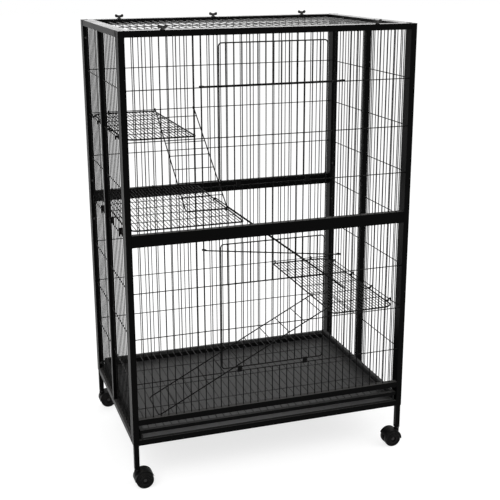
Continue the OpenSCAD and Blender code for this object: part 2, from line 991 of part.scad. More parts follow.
module lower_ramp() {
    slope = ramp_slope(lower_ramp_len, lower_ramp_drop, ramp_hook_r(shelf_rod_d));
    translate([lower_ramp_x, lower_ramp_y, base_z + lower_shelf_z])
        rotate([0, 0, 180])
            ramp(lower_ramp_len, slope, shelf_rod_d);
}

// ---- Legs and casters ----

// Leg tube with a solid foot that takes the caster's stem
module leg(x, y) {
    leg_h = leg_drop + leg_in;
    color(black)
        difference() {
            translate([x - leg_w / 2, y - leg_w / 2, caster_h])
                cube([leg_w, leg_w, leg_h]);
            translate([x - leg_w / 2 + leg_wall, y - leg_w / 2 + leg_wall, caster_h + leg_foot_h])
                cube([leg_w - 2 * leg_wall, leg_w - 2 * leg_wall, leg_h]);
            translate([x, y, caster_h - cut])
                cylinder(d = stem_d + 2 * run_fit, h = leg_socket + cut);
            in_cage()
                bolt_holes();
        }
}

module front_left_leg() {
    leg(-panel_x, -panel_y);
}

module front_right_leg() {
    leg(panel_x, -panel_y);
}

module back_left_leg() {
    leg(-panel_x, panel_y);
}

module back_right_leg() {
    leg(panel_x, panel_y);
}

// The four stems, which sit in the legs and on which the hoods swivel
module caster_stems() {
    color(steel)
        for (x = [-panel_x, panel_x])
            for (y = [-panel_y, panel_y])
                translate([x, y, caster_h]) {
                    translate([0, 0, -collar_h])
                        cylinder(d = collar_d, h = collar_h);
                    translate([0, 0, -collar_h - stem_down])
                        cylinder(d = stem_d, h = collar_h + stem_down + stem_up);
                }
}

// Places of a caster's pieces: the left casters trail towards +X, the right ones -X
module at_caster(x, y) {
    translate([x, y, 0])
        rotate([0, 0, x < 0 ? 0 : 180])
            children();
}

module hood(x, y) {
    width = 2 * (wheel_face + wheel_w);
    lower_edge = 5;
    lean = 14;
    color(caster_black)
        at_caster(x, y)
            difference() {
                union() {
                    intersection() {
                        translate([trail, width / 2, wheel_r])
                            rotate([90, 0, 0])
                                cylinder(r = hood_r, h = width, $fn = 64);
                        translate([trail, 0, wheel_r + lower_edge])
                            rotate([0, -lean, 0])
                                translate([-2 * hood_r, -width, 0])
                                    cube([4 * hood_r, 2 * width, 2 * hood_r]);
                    }
                    translate([0, 0, wheel_r])
                        cylinder(d = boss_d, h = hood_top - wheel_r);
                    translate([trail, web_t / 2, wheel_r])
                        rotate([90, 0, 0])
                            cylinder(r = hub_r, h = web_t);
                }
                for (side = [-1, 1])
                    translate([trail, side * (web_t / 2 + width) + width, wheel_r])
                        rotate([90, 0, 0])
                            cylinder(r = wheel_r + hood_gap, h = 2 * width, $fn = 64);
                translate([0, 0, hood_top - stem_down - 2 * cut])
                    cylinder(d = stem_d + 2 * run_fit, h = stem_down + 3 * cut);
                translate([trail, width, wheel_r])
                    rotate([90, 0, 0])
                        cylinder(d = axle_d + 2 * bolt_clear, h = 2 * width);
            }
}

module front_left_hood() {
    hood(-panel_x, -panel_y);
}

module front_right_hood() {
    hood(panel_x, -panel_y);
}

module back_left_hood() {
    hood(-panel_x, panel_y);
}

module back_right_hood() {
    hood(panel_x, panel_y);
}

// Axle with a cap sunk into each wheel
module axle(x, y) {
    shank = 2 * (wheel_face + wheel_w - hub_sink + seat);
    color(steel)
        at_caster(x, y)
            translate([trail, 0, wheel_r])
                rotate([90, 0, 0]) {
                    cylinder(d = axle_d, h = shank, center = true);
                    for (side = [-1, 1])
                        translate([0, 0, side * (shank + cap_t) / 2])
                            cylinder(r = cap_r, h = cap_t, center = true);
                }
}

module front_left_axle() {
    axle(-panel_x, -panel_y);
}

module front_right_axle() {
    axle(panel_x, -panel_y);
}

module back_left_axle() {
    axle(-panel_x, panel_y);
}

module back_right_axle() {
    axle(panel_x, panel_y);
}

// Half section of a wheel, with its inner face on y 0
module wheel_section() {
    bore_r = axle_d / 2 + run_fit;
    round_r = 3;
    dish_in = 4;
    dish_out = 6;
    dish_t = 1.5;
    difference() {
        union() {
            translate([bore_r, 0])
                square([wheel_r - round_r - bore_r, wheel_w]);
            translate([bore_r, round_r])
                square([wheel_r - bore_r, wheel_w - 2 * round_r]);
            for (y = [round_r, wheel_w - round_r])
                translate([wheel_r - round_r, y])
                    circle(round_r);
        }
        translate([0, wheel_w - hub_sink])
            square([hub_r, hub_sink + cut]);
        translate([hub_r + dish_in, wheel_w - dish_t])
            square([wheel_r - hub_r - dish_in - dish_out, dish_t + cut]);
    }
}

// Pair of wheels on one axle
module wheels(x, y) {
    color(caster_black)
        at_caster(x, y)
            for (end = [0, 1])
                mirror([0, end, 0])
                    translate([trail, wheel_face, wheel_r])
                        rotate([-90, 0, 0])
                            rotate_extrude($fn = 64)
                                wheel_section();
}

module front_left_wheels() {
    wheels(-panel_x, -panel_y);
}

module front_right_wheels() {
    wheels(panel_x, -panel_y);
}

module back_left_wheels() {
    wheels(-panel_x, panel_y);
}

module back_right_wheels() {
    wheels(panel_x, panel_y);
}

// ---- Fasteners ----

module corner_bolts() {
    color(steel)
        in_cage() {
            at_corner_bolts()
                button_bolt();
            at_top_bolts()
                button_bolt();
        }
}

// Wing bolt with its washer on the plane z 0
module wing_bolt() {
    collar_r = 5;
    collar_top = 7;
    wing_t = 2.5;
    wing_in = 2;
    wing_foot = 4;
    wing_top = 15;
    wing_round = 4;
    difference() {
        cylinder(d = washer_d, h = washer_t);
        translate([0, 0, -cut])
            cylinder(d = wing_bolt_d + 2 * bolt_clear, h = washer_t + 2 * cut);
    }
    translate([0, 0, -wing_bolt_reach])
        cylinder(d = wing_bolt_d, h = wing_bolt_reach + collar_top);
    translate([0, 0, washer_t])
        cylinder(r = collar_r, h = collar_top - washer_t);
    for (side = [0, 1])
        mirror([side, 0, 0])
            translate([0, wing_t / 2, 0])
                rotate([90, 0, 0])
                    linear_extrude(wing_t) {
                        translate([wing_in, wing_foot])
                            square([wing_w / 2 - wing_in, wing_top - wing_foot - wing_round]);
                        translate([wing_w / 2 - 2 * wing_round, wing_foot])
                            square([wing_round, wing_top - wing_foot]);
                        translate([wing_w / 2 - wing_round, wing_top - wing_round])
                            circle(wing_round);
                    }
}

module wing_bolts() {
    color(steel)
        in_cage() {
            for (x = front_wing_bolts)
                translate([x, -panel_y, cage_h])
                    wing_bolt();
            for (x = back_wing_bolts)
                translate([x, panel_y, cage_h])
                    wing_bolt();
        }
}

front_upper_frame();
front_lower_frame();
back_upper_frame();
back_lower_frame();
left_frame();
right_frame();
top_frame();
front_upper_grid_left();
front_upper_grid_right();
front_upper_grid_above();
front_upper_grid_below();
front_lower_grid_left();
front_lower_grid_right();
front_lower_grid_above();
front_lower_grid_below();
back_upper_grid();
back_lower_grid();
left_grid_front();
left_grid_rear();
right_grid_front();
right_grid_rear();
top_grid();
upper_door();
upper_door_hinges();
upper_latch_rod();
lower_door();
lower_door_hinges();
lower_latch_rod();
left_runner();
right_runner();
litter_tray();
floor_grate();
upper_shelf();
middle_shelf();
lower_shelf();
upper_ramp();
middle_ramp();
lower_ramp();
front_left_leg();
front_right_leg();
back_left_leg();
back_right_leg();
caster_stems();
front_left_hood();
front_right_hood();
back_left_hood();
back_right_hood();
front_left_axle();
front_right_axle();
back_left_axle();
back_right_axle();
front_left_wheels();
front_right_wheels();
back_left_wheels();
back_right_wheels();
corner_bolts();
wing_bolts();
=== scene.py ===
import json
import math

import bmesh
import bpy
from mathutils import Matrix, Vector


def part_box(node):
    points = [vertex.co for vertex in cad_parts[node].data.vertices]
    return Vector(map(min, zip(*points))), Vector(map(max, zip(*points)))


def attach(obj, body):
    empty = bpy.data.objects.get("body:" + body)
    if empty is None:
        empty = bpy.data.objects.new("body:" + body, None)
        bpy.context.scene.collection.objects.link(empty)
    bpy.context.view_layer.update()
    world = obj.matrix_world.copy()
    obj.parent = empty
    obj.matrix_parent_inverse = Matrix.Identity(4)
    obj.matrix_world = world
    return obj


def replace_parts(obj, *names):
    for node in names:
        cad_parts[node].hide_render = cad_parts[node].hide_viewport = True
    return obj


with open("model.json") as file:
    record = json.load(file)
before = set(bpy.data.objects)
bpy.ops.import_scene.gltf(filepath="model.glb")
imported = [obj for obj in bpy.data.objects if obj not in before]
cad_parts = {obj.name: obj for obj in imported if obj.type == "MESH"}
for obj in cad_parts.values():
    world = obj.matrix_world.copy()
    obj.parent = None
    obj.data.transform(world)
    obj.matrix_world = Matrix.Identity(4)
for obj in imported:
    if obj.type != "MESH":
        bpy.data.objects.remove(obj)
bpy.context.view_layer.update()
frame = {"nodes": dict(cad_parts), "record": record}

MM = 0.001

# The cage's outer sizes in metres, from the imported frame
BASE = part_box("left_frame")[0].z
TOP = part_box("left_frame")[1].z
HALF_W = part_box("front_upper_frame")[1].x
HALF_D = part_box("back_upper_frame")[1].y
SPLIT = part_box("front_upper_frame")[0].z

# Frame tubes. The wire panels stand in the tubes' middle planes
TUBE = 19 * MM
INNER_W = HALF_W - TUBE
INNER_D = HALF_D - TUBE
PANEL_X = HALF_W - TUBE / 2
PANEL_Y = HALF_D - TUBE / 2
DRAWER_RAIL = BASE + 70 * MM
SIDE_POST = 10 * MM
SIDE_SPANS = [(-INNER_D + TUBE, SIDE_POST - TUBE / 2), (SIDE_POST + TUBE / 2, INNER_D - TUBE)]
BOLT_HEIGHTS = [BASE + z * MM for z in (40, 600, 740, 1240)]
WING_X = 340 * MM

# Wire panels: columns counted from the middle, rows counted down from the rail over them
WIRE = 3 * MM
WIRE_PITCH = 25.4 * MM
FRONT_GAPS = 36
COL = 2 * INNER_W / FRONT_GAPS
LAST_COL = FRONT_GAPS // 2 - 1
DOOR_COL = 6
DOOR_ROD = 4 * MM
UPPER_ROWS = [TOP - TUBE - k * 152 * MM for k in (1, 2, 3)]
LOWER_ROWS = [SPLIT - TUBE - k * 150 * MM for k in (1, 2, 3)]
SIDE_ROWS = UPPER_ROWS + [SPLIT - 5 * MM] + LOWER_ROWS

# Shelves: long wires on an outline rod, SHELF_CLEAR inside the tubes, with wider corners on
# the wall side
SHELF_ROD = 5 * MM
SHELF_HANG = 3 * MM
SHELF_CLEAR = 6 * MM
SHELF_PITCH = 12.7 * MM
SHELF_WALL_R = 36 * MM
SHELF_FREE_R = 12 * MM
SHELF_D = 553 * MM
SHELF_Z = {
    "upper_shelf": UPPER_ROWS[1] - SHELF_HANG,
    "middle_shelf": SPLIT + 13 * MM,
    "lower_shelf": LOWER_ROWS[1] - SHELF_HANG,
}

# Ramps: the rails' middle lies HOOK_RISE over the wire that the hooks hold, and FOOT over
# what the lower end rests on
RAMP_W = 143 * MM
RUNG_PITCH = 64 * MM
HOOK_RISE = 2.7 * MM
FOOT = 2.3 * MM
GRATE_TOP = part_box("floor_grate")[1].z

# Casters: the axle lies TRAIL inwards of the stem, and a wheel pair is 2 * WHEEL_OUT wide
CORNERS = {
    "front_left": (-1, -1), "front_right": (1, -1),
    "back_left": (-1, 1), "back_right": (1, 1),
}
TRAIL = 22 * MM
WHEEL_R = 29 * MM
WHEEL_OUT = 21.5 * MM
RIBS = 12


# ---- Node building ----

class Value:
    """A node's output with the arithmetic of Python."""

    def __init__(self, nodes, socket):
        self.nodes, self.socket = nodes, socket

    def __add__(self, other):
        return self.nodes.math("ADD", self, other)

    def __sub__(self, other):
        return self.nodes.math("SUBTRACT", self, other)

    def __rsub__(self, other):
        return self.nodes.math("SUBTRACT", other, self)

    def __mul__(self, other):
        return self.nodes.math("MULTIPLY", self, other)

    __radd__, __rmul__ = __add__, __mul__


class Nodes:
    """One node tree, with one method that adds any node."""

    def __init__(self, tree):
        self.tree = tree

    def node(self, kind, settings=None, sockets=None):
        made = self.tree.nodes.new(kind)
        for key, value in (settings or {}).items():
            setattr(made, key, value)
        for key, value in (sockets or {}).items():
            if isinstance(value, Value):
                self.tree.links.new(value.socket, made.inputs[key])
            else:
                made.inputs[key].default_value = value
        return made

    def out(self, kind, settings=None, sockets=None, output=0):
        return Value(self, self.node(kind, settings, sockets).outputs[output])

    def math(self, operation, a, b):
        return self.out("ShaderNodeMath", {"operation": operation}, {0: a, 1: b})

    def seen(self):
        """1 for rays that end in the picture or a reflection, 0 for those that only light."""
        path = self.node("ShaderNodeLightPath")
        camera, glossy, through = (
            Value(self, path.outputs["Is " + kind + " Ray"])
            for kind in ("Camera", "Glossy", "Transmission")
        )
        return camera + glossy + through


class Finish(Nodes):
    """A material's nodes, with the patterns that the cage's finishes share."""

    def __init__(self, name):
        self.material = bpy.data.materials.new(name)
        self.material.use_nodes = True
        super().__init__(self.material.node_tree)
        self.tree.nodes.clear()
        self.place = self.out("ShaderNodeTexCoord", output="Object")

    def along(self, axis, vector):
        """A vector's X, Y or Z."""
        return self.out("ShaderNodeSeparateXYZ", None, {"Vector": vector}, output=axis)

    def noise(self, scale, detail=2.0, stretch=(1, 1, 1), rough=0.5):
        place = self.out("ShaderNodeMapping", None, {"Vector": self.place, "Scale": stretch})
        return self.out(
            "ShaderNodeTexNoise", None,
            {"Vector": place, "Scale": scale, "Detail": detail, "Roughness": rough},
        )

    def ramp(self, value, low, high):
        """0 below low, 1 above high."""
        return self.out(
            "ShaderNodeMapRange", {"clamp": True},
            {"Value": value, "From Min": low, "From Max": high},
        )

    def tint(self, factor, a, b):
        """Colour a where factor is 0 and colour b where it is 1."""
        return self.out(
            "ShaderNodeMix", {"data_type": "RGBA"},
            {0: factor, 6: a, 7: b}, output=2,
        )

    def upward(self):
        """1 on level faces that look up, 0 on walls."""
        normal = self.out("ShaderNodeNewGeometry", output="Normal")
        return self.ramp(self.along("Z", normal), 0.55, 0.95)

    def bump(self, height, distance, strength=1.0, normal=None):
        sockets = {"Height": height, "Distance": distance, "Strength": strength}
        if normal is not None:
            sockets["Normal"] = normal
        return self.out("ShaderNodeBump", None, sockets)

    def finish(self, sockets):
        surface = self.out("ShaderNodeBsdfPrincipled", None, sockets)
        self.node("ShaderNodeOutputMaterial", None, {"Surface": surface})
        return self.material


def grey(level, warm=0.0):
    return (level * (1 + warm), level, level * (1 - warm), 1)


# ---- Finishes ----

def powder_coat(name, level, grain, edge, dust_and_highlight_grey, worn=None, crown=None):
    """Baked powder on steel: fine orange peel, a lighter top of dust and painted highlight, and
    rubbed spots.

    Level is the coat's grey; the grey given after edge is what faces looking up take on, dust and
    a painted highlight. Edge is the radius of softened edges.
    Worn is the Y from which claws have scratched the coat grey.
    Crown is the height above which hands have polished the faces that look up.
    """
    f = Finish(name)
    soft_edges = f.out("ShaderNodeBevel", {"samples": 4}, {"Radius": edge})
    peel = f.noise(grain, 3.0)
    cloud = f.noise(9.0, 3.0)
    # Faces that look up are tinted lighter: partly dust, partly a painted highlight of light
    # falling from above.
    dust = f.upward() * (0.6 + 0.4 * f.ramp(f.noise(220.0, 4.0), 0.35, 0.65))
    rubbed = f.ramp(f.noise(130.0, 5.0, rough=0.7), 0.67, 0.74)
    colour = f.tint(dust * 0.6, grey(level), grey(dust_and_highlight_grey, 0.03))
    colour = f.tint(rubbed * 0.5, colour, grey(level * 4 + 0.003))
    if worn is not None:
        reached = f.ramp(f.along("Y", f.place), worn, worn + 3 * MM)
        scratched = reached * f.ramp(cloud, 0.2, 0.45)
        colour = f.tint(scratched * 0.8, colour, grey(0.05))
    sockets = {
        "Base Color": colour,
        "Roughness": cloud * 0.12 + dust * 0.18 + rubbed * 0.1 + 0.3,
        "Specular IOR Level": 0.03,
        "Normal": f.bump(peel, 0.06 * MM, 0.35, soft_edges),
    }
    if crown is not None:
        polished = f.upward() * f.ramp(f.along("Z", f.place), crown, crown + 2 * MM)
        sockets["Coat Weight"] = polished * (0.6 + 0.4 * f.ramp(cloud, 0.35, 0.6))
        sockets["Coat Roughness"] = 0.25
    return f.finish(sockets)


def glossy_sheet():
    """Dark moulded sheet of the tray: long waves, slide marks and dust, with a painted highlight
    on faces that look up and painted shade on the walls.
    """
    f = Finish("tray_gloss_sheet")
    waves = f.noise(5.0, 1.0)
    slides = f.noise(240.0, 3.0, (1, 0.02, 1))
    marks = f.ramp(slides, 0.56, 0.72)
    upward = f.upward()
    dust = upward * f.ramp(f.noise(34.0, 5.0, rough=0.65), 0.42, 0.72)
    # Painted light and shade: faces that look up are a lighter grey, and the walls stay near
    # black.
    colour = f.tint(upward, grey(0.004), grey(0.052))
    colour = f.tint(dust * 0.5, colour, grey(0.075, 0.03))
    return f.finish({
        "Base Color": f.tint(marks * (upward * 0.25 + 0.05), colour, grey(0.09)),
        "Roughness": dust * 0.12 + marks * 0.1 + 0.42,
        "Specular IOR Level": 0.12,
        "Normal": f.bump(slides, 0.02 * MM, 0.3, f.bump(waves, 3 * MM, 0.2)),
    })


def moulded_nylon():
    """Black nylon of the caster hoods: matt spark grain with shinier rubbed places."""
    f = Finish("caster_nylon_grain")
    grain = f.noise(1500.0, 2.0)
    rub = f.ramp(f.noise(45.0, 4.0), 0.5, 0.7)
    dust = f.upward() * f.ramp(f.noise(90.0, 4.0), 0.4, 0.65)
    return f.finish({
        "Base Color": f.tint(dust * 0.4, grey(0.003), grey(0.03, 0.04)),
        "Roughness": 0.46 - rub * 0.12 + dust * 0.2,
        "Specular IOR Level": 0.06,
        "Normal": f.bump(grain, 0.05 * MM, 0.5),
    })


def tread_nylon():
    """Wheel material: turned rings, scuffs and dust picked up from the floor."""
    f = Finish("caster_wheel_tread")
    scuffs = f.noise(320.0, 5.0, (1, 0.25, 1), 0.7)
    dirt = f.ramp(f.noise(70.0, 5.0, rough=0.65), 0.48, 0.7)
    return f.finish({
        "Base Color": f.tint(dirt * 0.5, grey(0.003), grey(0.02, 0.05)),
        "Roughness": dirt * 0.25 + scuffs * 0.12 + 0.32,
        "Specular IOR Level": 0.07,
        "Normal": f.bump(scuffs, 0.08 * MM, 0.4),
    })


def plated_steel():
    """Black-plated steel: cloudy, nearly black, with fine drawing lines."""
    f = Finish("black_plated_steel")
    lines = f.noise(900.0, 3.0, (1, 1, 0.06))
    cloud = f.noise(160.0, 4.0)
    return f.finish({
        "Base Color": f.tint(cloud, grey(0.018), grey(0.045, 0.02)),
        "Metallic": 1.0,
        "Roughness": cloud * 0.2 + 0.28,
        "Normal": f.bump(lines, 0.03 * MM, 0.4),
    })


# Only the top rails and the top wires reach above CROWN
CROWN = TOP - TUBE - 5 * MM
GRATE_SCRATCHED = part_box("floor_grate")[0].y + 12 * MM
TUBE_GRAIN, WIRE_GRAIN = 1100.0, 1600.0
TUBE_EDGE, CLIP_EDGE, WIRE_EDGE = 1.4 * MM, 0.4 * MM, 0.3 * MM

FRAME_COAT = powder_coat("satin_frame_coat", 0.0012, TUBE_GRAIN, TUBE_EDGE, 0.08, crown=CROWN)
WIRE_COAT = powder_coat("satin_wire_coat", 0.0016, WIRE_GRAIN, WIRE_EDGE, 0.05)
GRATE_COAT = powder_coat(
    "clawed_grate_coat", 0.0016, WIRE_GRAIN, WIRE_EDGE, 0.05, worn=GRATE_SCRATCHED)
CLIP_COAT = powder_coat("rubbed_clip_coat", 0.0024, WIRE_GRAIN, CLIP_EDGE, 0.05)
# The top frame and top grid take a lighter copy of the frame coat: a painted highlight of the
# light on top, with more dust.
TOP_COAT_WITH_PAINTED_HIGHLIGHT = powder_coat("dusty_top_coat", 0.003, TUBE_GRAIN, TUBE_EDGE, 0.12, crown=CROWN)
TRAY_SHEET = glossy_sheet()
HOOD_NYLON = moulded_nylon()
WHEEL_NYLON = tread_nylon()
PLATED = plated_steel()

SLOT_FINISH = {
    "frame_powder_coat": FRAME_COAT,
    "wire_powder_coat": WIRE_COAT,
    "tray_gloss": TRAY_SHEET,
    "caster_nylon": HOOD_NYLON,
    "plated_steel": PLATED,
}
NODE_FINISH = {
    "floor_grate": GRATE_COAT,
    "top_frame": TOP_COAT_WITH_PAINTED_HIGHLIGHT,
    "top_grid": TOP_COAT_WITH_PAINTED_HIGHLIGHT,
    "upper_door_hinges": CLIP_COAT,
    "lower_door_hinges": CLIP_COAT,
    **{corner + "_wheels": WHEEL_NYLON for corner in CORNERS},
}

for part in frame["record"]["subparts"]:
    node = frame["nodes"][part["node"]]
    coat = NODE_FINISH.get(part["node"], SLOT_FINISH[part["material_slot"]])
    node.data.materials.clear()
    node.data.materials.append(coat)


# ---- Shape trees ----

def add(name, data):
    """A new object in the scene."""
    made = bpy.data.objects.new(name, data)
    bpy.context.scene.collection.objects.link(made)
    return made


class Shape(Nodes):
    """A Geometry Nodes tree that is run once on a mesh and kept as a plain mesh."""

    def __init__(self, name, inputs):
        super().__init__(bpy.data.node_groups.new(name, "GeometryNodeTree"))
        self.add_socket("Geometry", "INPUT", "Geometry")
        self.keys = {
            label: self.add_socket(label, "INPUT", kind)
            for label, kind in {**inputs, "Finish": "Material"}.items()
        }
        self.add_socket("Geometry", "OUTPUT", "Geometry")
        self.source = self.node("NodeGroupInput")

    def add_socket(self, label, way, kind):
        made = self.tree.interface.new_socket(
            label, in_out=way, socket_type="NodeSocket" + kind)
        return made.identifier

    def given(self, label):
        return Value(self, self.source.outputs[label])

    def stand(self, part, sizes=None):
        """Ends the tree with the part on every point, at the turn that the point carries."""
        turn = self.out(
            "GeometryNodeInputNamedAttribute", {"data_type": "FLOAT_VECTOR"}, {"Name": "turn"})
        sockets = {"Points": self.given("Geometry"), "Instance": part, "Rotation": turn}
        if sizes is not None:
            sockets["Scale"] = sizes
        self.close(self.out("GeometryNodeInstanceOnPoints", None, sockets))

    def close(self, geometry):
        """Ends the tree in real geometry with the Finish input as its material."""
        whole = self.out("GeometryNodeRealizeInstances", None, {"Geometry": geometry})
        coated = self.out(
            "GeometryNodeSetMaterial", None, {"Geometry": whole, "Material": self.given("Finish")}
        )
        self.node("NodeGroupOutput", None, {"Geometry": coated})

    def make(self, name, mesh, body, slot, values):
        """Runs the tree on a mesh and leaves its result as a piece that rides on body."""
        carrier = add("carrier", mesh)
        modifier = carrier.modifiers.new("shape", "NODES")
        modifier.node_group = self.tree
        for label, value in values.items():
            modifier[self.keys[label]] = value
        seen = bpy.context.evaluated_depsgraph_get()
        result = bpy.data.meshes.new_from_object(carrier.evaluated_get(seen))
        bpy.data.objects.remove(carrier)
        result.name = name
        piece = add(name, result)
        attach(piece, body)
        return piece


def point_mesh(points, turns):
    """Loose points, each with the turn of what stands on it."""
    mesh = bpy.data.meshes.new("points")
    mesh.from_pydata([tuple(p) for p in points], [], [])
    turn = mesh.attributes.new("turn", "FLOAT_VECTOR", "POINT")
    turn.data.foreach_set("vector", [c for t in turns for c in t])
    return mesh


def line_mesh(lines):
    """Separate straight edges from pairs of points."""
    mesh = bpy.data.meshes.new("lines")
    mesh.from_pydata(
        [tuple(p) for line in lines for p in line],
        [(2 * i, 2 * i + 1) for i in range(len(lines))], [],
    )
    return mesh


def bead_shape():
    """Small weld beads, each a ball turned and sized a little at random."""
    s = Shape("weld_beads", {"Bead": "Float", "Spread": "Float", "Seed": "Int"})
    ball = s.out(
        "GeometryNodeMeshIcoSphere", None, {"Radius": s.given("Bead"), "Subdivisions": 1})
    smooth = s.out("GeometryNodeSetShadeSmooth", None, {"Geometry": ball})
    spread = s.given("Spread")
    size = s.out(
        "FunctionNodeRandomValue", {"data_type": "FLOAT"},
        {2: 1 - spread, 3: 1 + spread, "Seed": s.given("Seed")}, output=1,
    )
    s.stand(smooth, size)
    return s


def seam_shape():
    """A weld seam that follows an edge, with the ripples of a hand weld."""
    s = Shape("weld_seams", {"Width": "Float", "Ripple": "Float", "Step": "Float"})
    path = s.out("GeometryNodeMeshToCurve", None, {"Mesh": s.given("Geometry")})
    fine = s.out(
        "GeometryNodeResampleCurve", {"mode": "LENGTH"},
        {"Curve": path, "Length": s.given("Step")},
    )
    where = s.out("GeometryNodeInputPosition")
    wobble = s.out(
        "ShaderNodeTexNoise", None, {"Vector": where, "Scale": 420.0, "Detail": 1.0})
    radius = s.given("Width") + (wobble - 0.5) * 2 * s.given("Ripple")
    ring = s.out("GeometryNodeCurvePrimitiveCircle", None, {"Resolution": 8, "Radius": 1.0})
    tube = s.out("GeometryNodeCurveToMesh", None, {
        "Curve": fine, "Profile Curve": ring, "Scale": radius, "Fill Caps": True,
    })
    s.close(s.out("GeometryNodeSetShadeSmooth", None, {"Geometry": tube}))
    return s


def copies_shape():
    """The same small part on every point."""
    s = Shape("repeated_parts", {"Part": "Object"})
    s.stand(s.out(
        "GeometryNodeObjectInfo", {"transform_space": "ORIGINAL"},
        {"Object": s.given("Part")}, output="Geometry",
    ))
    return s


BEADS = bead_shape()
SEAMS = seam_shape()
COPIES = copies_shape()


# ---- Welds ----

def columns(low, high):
    return [i * COL for i in range(low, high + 1)]


def gap_count(length, pitch):
    """The fewest equal gaps that are no wider than the pitch, give or take 1% of a gap."""
    return math.ceil(length / pitch - 0.01)


def evenly(low, high):
    """Where the wires of a side panel or the grate stand between two edges."""
    gaps = gap_count(high - low, WIRE_PITCH)
    return [low + i * (high - low) / gaps for i in range(1, gaps)]


def panel_welds():
    """Where the panels' wires meet the tubes of the frames."""
    ends = []
    beside = [c * side for c in columns(DOOR_COL + 1, LAST_COL) for side in (-1, 1)]
    for x in beside + columns(-DOOR_COL, DOOR_COL):
        ends += [(x, -PANEL_Y, z) for z in (
            DRAWER_RAIL + TUBE, SPLIT - TUBE, SPLIT + TUBE, TOP - TUBE)]
    for x in columns(-LAST_COL, LAST_COL):
        ends += [(x, PANEL_Y, z) for z in (
            BASE + TUBE, SPLIT - TUBE, SPLIT + TUBE, TOP - TUBE)]
    for side in (-1, 1):
        for z in UPPER_ROWS + LOWER_ROWS:
            ends += [(side * INNER_W, y, z) for y in (-PANEL_Y, PANEL_Y)]
        for span in SIDE_SPANS:
            for y in evenly(*span):
                ends += [(side * PANEL_X, y, z) for z in (BASE + TUBE, TOP - TUBE)]
            for z in SIDE_ROWS:
                ends += [(side * PANEL_X, y, z) for y in span]
    return ends


def grate_welds():
    low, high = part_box("floor_grate")
    bar = high.z - low.z
    level = high.z - WIRE / 2 - 0.3 * MM
    ends_x = (low.x + bar / 2, high.x - bar / 2)
    places = [(x, y, level) for x in evenly(*ends_x) for y in (low.y + bar, high.y - bar)]
    for i in (1, 2, 3):
        y = low.y + i * (high.y - low.y) / 4
        places += [(x, y, level) for x in (low.x + bar, high.x - bar)]
    return places


def deck_welds(side, width, depth, rod_z):
    """Ends of a shelf's long wires on its outline rod, which is cut short at the corners."""
    wall = INNER_W - SHELF_CLEAR
    back = INNER_D - SHELF_CLEAR
    gaps = gap_count(width, SHELF_PITCH)
    places = []
    for i in range(1, gaps):
        x = i * width / gaps
        short = 0.0
        for reach, r in ((x, SHELF_WALL_R), (width - x, SHELF_FREE_R)):
            if reach < r:
                short = max(short, r - math.sqrt(r * r - (r - reach) ** 2))
        places += [
            (side * (wall - x), y, rod_z + MM) for y in (back - short, back - depth + short)
        ]
    return places


def door_welds(name):
    """Wire ends on a door's outline rod: its level wires stand at the panels' rows."""
    low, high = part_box(name)
    y = (low.y + high.y) / 2
    half = DOOR_ROD / 2
    rows = [z for z in UPPER_ROWS + LOWER_ROWS if low.z + 20 * MM < z < high.z]
    places = [
        (x, y, z)
        for x in columns(-DOOR_COL, DOOR_COL) for z in (low.z + half, high.z - half)
    ]
    places += [(x, y, z) for x in (low.x + half, high.x - half) for z in rows]
    return places


def rung_welds(pivot, turn, length, drop, wire):
    """Ends of a ramp's rungs on its rails.

    Pivot is on the wire that the hooks hold, and wire is its thickness. Turn is the way
    that the ramp points, and drop is how far below the pivot its foot lies.
    """
    r = wire / 2 + HOOK_RISE
    slope = math.asin(drop / math.hypot(length, r)) + math.atan2(r, length)
    places = []
    x = length - RUNG_PITCH
    while x > RUNG_PITCH / 4:
        along = x * math.cos(slope) + r * math.sin(slope)
        level = r * math.cos(slope) - x * math.sin(slope)
        for across in (-RAMP_W / 2, RAMP_W / 2):
            places.append((
                pivot[0] + along * math.cos(turn) - across * math.sin(turn),
                pivot[1] + along * math.sin(turn) + across * math.cos(turn),
                pivot[2] + level,
            ))
        x -= RUNG_PITCH
    return places


def weld(name, places, body, bead, seed, spread=0.1, coat=WIRE_COAT):
    """Beads of one welded piece, on the body that it moves with."""
    turns = [(0.4 * (i % 7), 0.3 * (i % 5), 0.5 * (i % 3)) for i in range(len(places))]
    BEADS.make(
        name, point_mesh(places, turns), body, "wire_powder_coat",
        {"Bead": bead, "Spread": spread, "Seed": seed, "Finish": coat},
    )


weld("wire_end_welds", panel_welds(), "cage", 2.3 * MM, 11, spread=0.18)
weld("grate_welds", grate_welds(), "grate", 2.0 * MM, 21, coat=GRATE_COAT)

for shelf, side, width, depth, seed in (
    ("upper_shelf", -1, 219 * MM, SHELF_D, 31),
    ("middle_shelf", -1, 372 * MM, SHELF_D, 32),
    ("lower_shelf", 1, 223 * MM, 589 * MM, 33),
):
    places = deck_welds(side, width, depth, SHELF_Z[shelf])
    weld(shelf + "_welds", places, "cage", 1.9 * MM, seed)

for door, seed in (("upper_door", 41), ("lower_door", 42)):
    weld(door + "_welds", door_welds(door), door, 2.1 * MM, seed)

